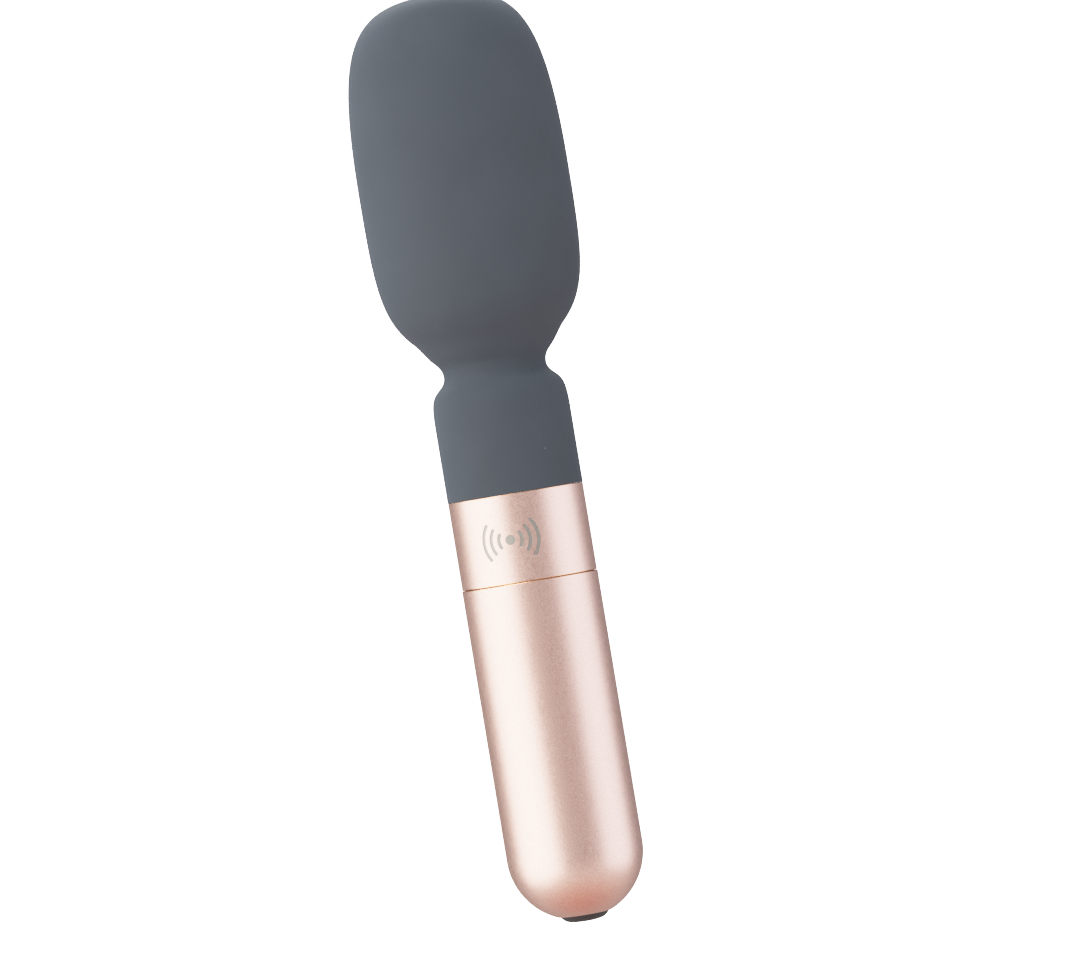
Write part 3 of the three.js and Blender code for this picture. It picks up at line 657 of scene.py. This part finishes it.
# ---- Silicone head ----


def sleeve_outline():
    """Outside of the silicone from its bottom edge to the top of the bulb."""
    throat_r, throat = 10.56 * MM, up(113.75)
    shoulder = (12.45 * MM, up(110.8))
    cone_start, cone_end = (12.4 * MM, up(117.2)), (15.55 * MM, up(121.3))
    widest = up(153)
    curves = [
        ([(SKIRT_R, up(104)), (SKIRT_R, up(108.3)), (13.55 * MM, up(109.65)), shoulder], 26),
        ([shoulder, (11.7 * MM, up(111.6)), (throat_r, up(112.3)), (throat_r, throat)], 20),
        ([(throat_r, throat), (throat_r, up(115.4)), (11.45 * MM, up(116.15)), cone_start], 20),
        ([cone_start, (13.4 * MM, up(118.3)), (14.4 * MM, up(120.1)), cone_end], 14),
        ([cone_end, (21.4 * MM, up(127.3)), (BULB_R, up(135)), (BULB_R, widest)], 40),
        ([(BULB_R, widest), (BULB_R, up(185)), (16.7 * MM, WAND_TOP), (0, WAND_TOP)], 60),
    ]
    lip = 0.07 * MM
    made = arc(SKIRT_R - lip, SKIRT_BOTTOM + lip, lip, -math.pi / 2, 0, 6)
    straight = 20
    made += [(SKIRT_R, made[-1][1] + (up(104) - made[-1][1]) * i / straight) for i in range(1, straight)]
    for points, steps in curves:
        made += cubic(points, steps)[:-1]
    return [*made, (0, WAND_TOP)]


def silicone_sleeve():
    """One moulding from the skirt over the neck to the bulb, hollow for the socket and the core."""
    gap = 0.3 * MM
    hole_r, skirt_inner_r = 1.5 * MM, INSERT_HIGH.x + 0.2 * MM
    socket_roof = INSERT_HIGH.z + 0.2 * MM
    core_r, core_low, core_high = CORE_R + gap, CORE_LOW - gap, CORE_HIGH + gap
    widest = up(153)
    upper = cubic([(0, core_high), (12.5 * MM, core_high), (core_r, up(179)), (core_r, widest)], 24)
    lower = cubic([(core_r, widest), (core_r, up(129.5)), (11.5 * MM, core_low), (0, core_low)], 24)
    outline = [
        *upper,
        *[point for point in lower[1:] if point[0] > hole_r],
        (hole_r, core_low),
        (hole_r, socket_roof),
        (skirt_inner_r, socket_roof),
        (skirt_inner_r, SKIRT_BOTTOM),
        *sleeve_outline(),
    ]
    sleeve = turned("silicone_sleeve", outline, MATERIALS["silicone"])
    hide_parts("silicone_skirt", "silicone_neck", "silicone_bulb")
    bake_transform(sleeve)


# ---- Studio ----

LEAN = math.radians(9.4)  # how far the wand leans to the left in the picture
VIEW_CENTRE = Vector((5.2 * MM, 0, up(88.95)))
VIEW_DISTANCE = 1.3
VIEW_WIDTH = 219.9 * MM  # what the picture's width spans at the wand


def camera():
    data = bpy.data.cameras.new("camera")
    data.lens = data.sensor_width * VIEW_DISTANCE / VIEW_WIDTH
    eye = bpy.data.objects.new("camera", data)
    level = Matrix.Rotation(math.pi / 2, 4, "X")
    roll = Matrix.Rotation(-LEAN, 4, "Z")
    eye.matrix_world = Matrix.Translation(VIEW_CENTRE + Vector((0, -VIEW_DISTANCE, 0))) @ level @ roll
    data.clip_start, data.clip_end = 0.05, 50
    bpy.context.scene.collection.objects.link(eye)
    bpy.context.scene.camera = eye


def softbox(name, azimuth, distance, width, low, high, radiance, tint=(1, 1, 1)):
    """An upright soft light, with its azimuth in degrees from the camera's side, growing to the right."""
    data = bpy.data.lights.new(name, "AREA")
    data.shape = "RECTANGLE"
    data.size, data.size_y = width, high - low
    data.energy = radiance * data.size * data.size_y * math.pi
    data.color = tint
    light = bpy.data.objects.new(name, data)
    turn = math.radians(azimuth)
    light.location = (distance * math.sin(turn), -distance * math.cos(turn), (low + high) / 2)
    light.rotation_euler = (math.pi / 2, 0, turn)
    light.visible_camera = False
    bpy.context.scene.collection.objects.link(light)


def world():
    """A dim room whose brightness changes only with direction, for fill and for what the metal mirrors."""
    made = bpy.data.worlds.new("room")
    made.use_nodes = True
    tree = made.node_tree
    direction = tree.nodes.new("ShaderNodeSeparateXYZ")
    tree.links.new(tree.nodes.new("ShaderNodeTexCoord").outputs["Generated"], direction.inputs[0])
    ramp = tree.nodes.new("ShaderNodeValToRGB")
    rising = tree.nodes.new("ShaderNodeMapRange")
    rising.inputs["From Min"].default_value = -1
    tree.links.new(direction.outputs["Z"], rising.inputs["Value"])
    tree.links.new(rising.outputs["Result"], ramp.inputs["Fac"])
    ground, low, level, above = (0.72, 0.38, 0.30), (0.95, 0.86, 0.82), (0.46, 0.42, 0.41), (0.80, 0.83, 0.87)
    stops = ramp.color_ramp.elements  # from straight down at 0 to straight up at 1
    stops[0].color = color(*ground)
    stops[1].color = color(*above)
    for place, tone in ((0.18, low), (0.40, level), (0.62, level)):
        stops.new(place).color = color(*tone)
    tree.links.new(ramp.outputs["Color"], tree.nodes["Background"].inputs["Color"])
    behind = tree.nodes.new("ShaderNodeMapRange")
    tree.links.new(direction.outputs["Y"], behind.inputs["Value"])
    for name, number in (("From Min", -0.2), ("From Max", 0.8), ("To Min", 1.0), ("To Max", 0.55)):
        behind.inputs[name].default_value = number
    tree.links.new(behind.outputs["Result"], tree.nodes["Background"].inputs["Strength"])
    bpy.context.scene.world = made


def floor():
    """A pale floor, well below the wand, that curves up into a pale room all round."""
    level, bend, radius, roof = -1.7, 1.2, 4.0, 3.5
    outline = [
        (0, level),
        *arc(radius - bend, level + bend, bend, -math.pi / 2, 0, 24),
        *arc(radius - bend, roof - bend, bend, 0, math.pi / 2, 24),
        (0, roof),
    ]
    material = bpy.data.materials.new("pale floor")
    material.use_nodes = True
    surface = material.node_tree.nodes["Principled BSDF"]
    surface.inputs["Base Color"].default_value = color(0.9, 0.9, 0.9)
    surface.inputs["Roughness"].default_value = 0.9
    surface.inputs["Emission Color"].default_value = color(1, 1, 1)
    surface.inputs["Emission Strength"].default_value = 3.4
    stage = turned("floor", outline, material, 128)
    stage.visible_diffuse = False
    stage.visible_glossy = False
    stage.visible_transmission = False
    stage.visible_shadow = False
    stage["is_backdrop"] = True


SHOULDER = 0.45  # radiance above which the film rolls off
REACH = 5.0  # radiance that comes out as pure white


def film(radiance):
    """Straight up to the shoulder, then a soft roll-off towards white."""
    if radiance < SHOULDER:
        return radiance
    rest = 1 - SHOULDER
    return 1 - rest * math.exp((SHOULDER - radiance) / rest)


def film_response():
    settings = bpy.context.scene.view_settings
    settings.view_transform = "Standard"
    settings.use_curve_mapping = True
    mapping = settings.curve_mapping
    mapping.white_level = (REACH, REACH, REACH)
    all_channels, steps = mapping.curves[3], 20
    for i in range(1, steps):
        x = (i / steps) ** 2
        all_channels.points.new(x, film(x * REACH) / film(REACH))
    mapping.update()


def studio():
    camera()
    softbox("left softbox", -66, 0.75, 1.24, -0.55, 0.65, 2.05, (1.0, 0.985, 0.955))
    softbox("right softbox", 79, 0.75, 0.88, -0.45, 0.40, 1.35, (0.96, 0.985, 1.05))
    softbox("key light", -30, 0.95, 0.9, 0.85, 1.75, 8.0)
    softbox("rear fill", 180, 0.95, 1.2, 0.6, 1.4, 4.0)
    world()
    floor()
    film_response()


dress_cad_nodes()
body_shell()
collar_ring()
rubber_rings()
push_button()
nose_housing()
thread_insert()
silicone_sleeve()
studio()

boxes = {"cad": CAD_BOX, "visual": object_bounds()}
{name: [list(corner) for corner in box] for name, box in boxes.items()}
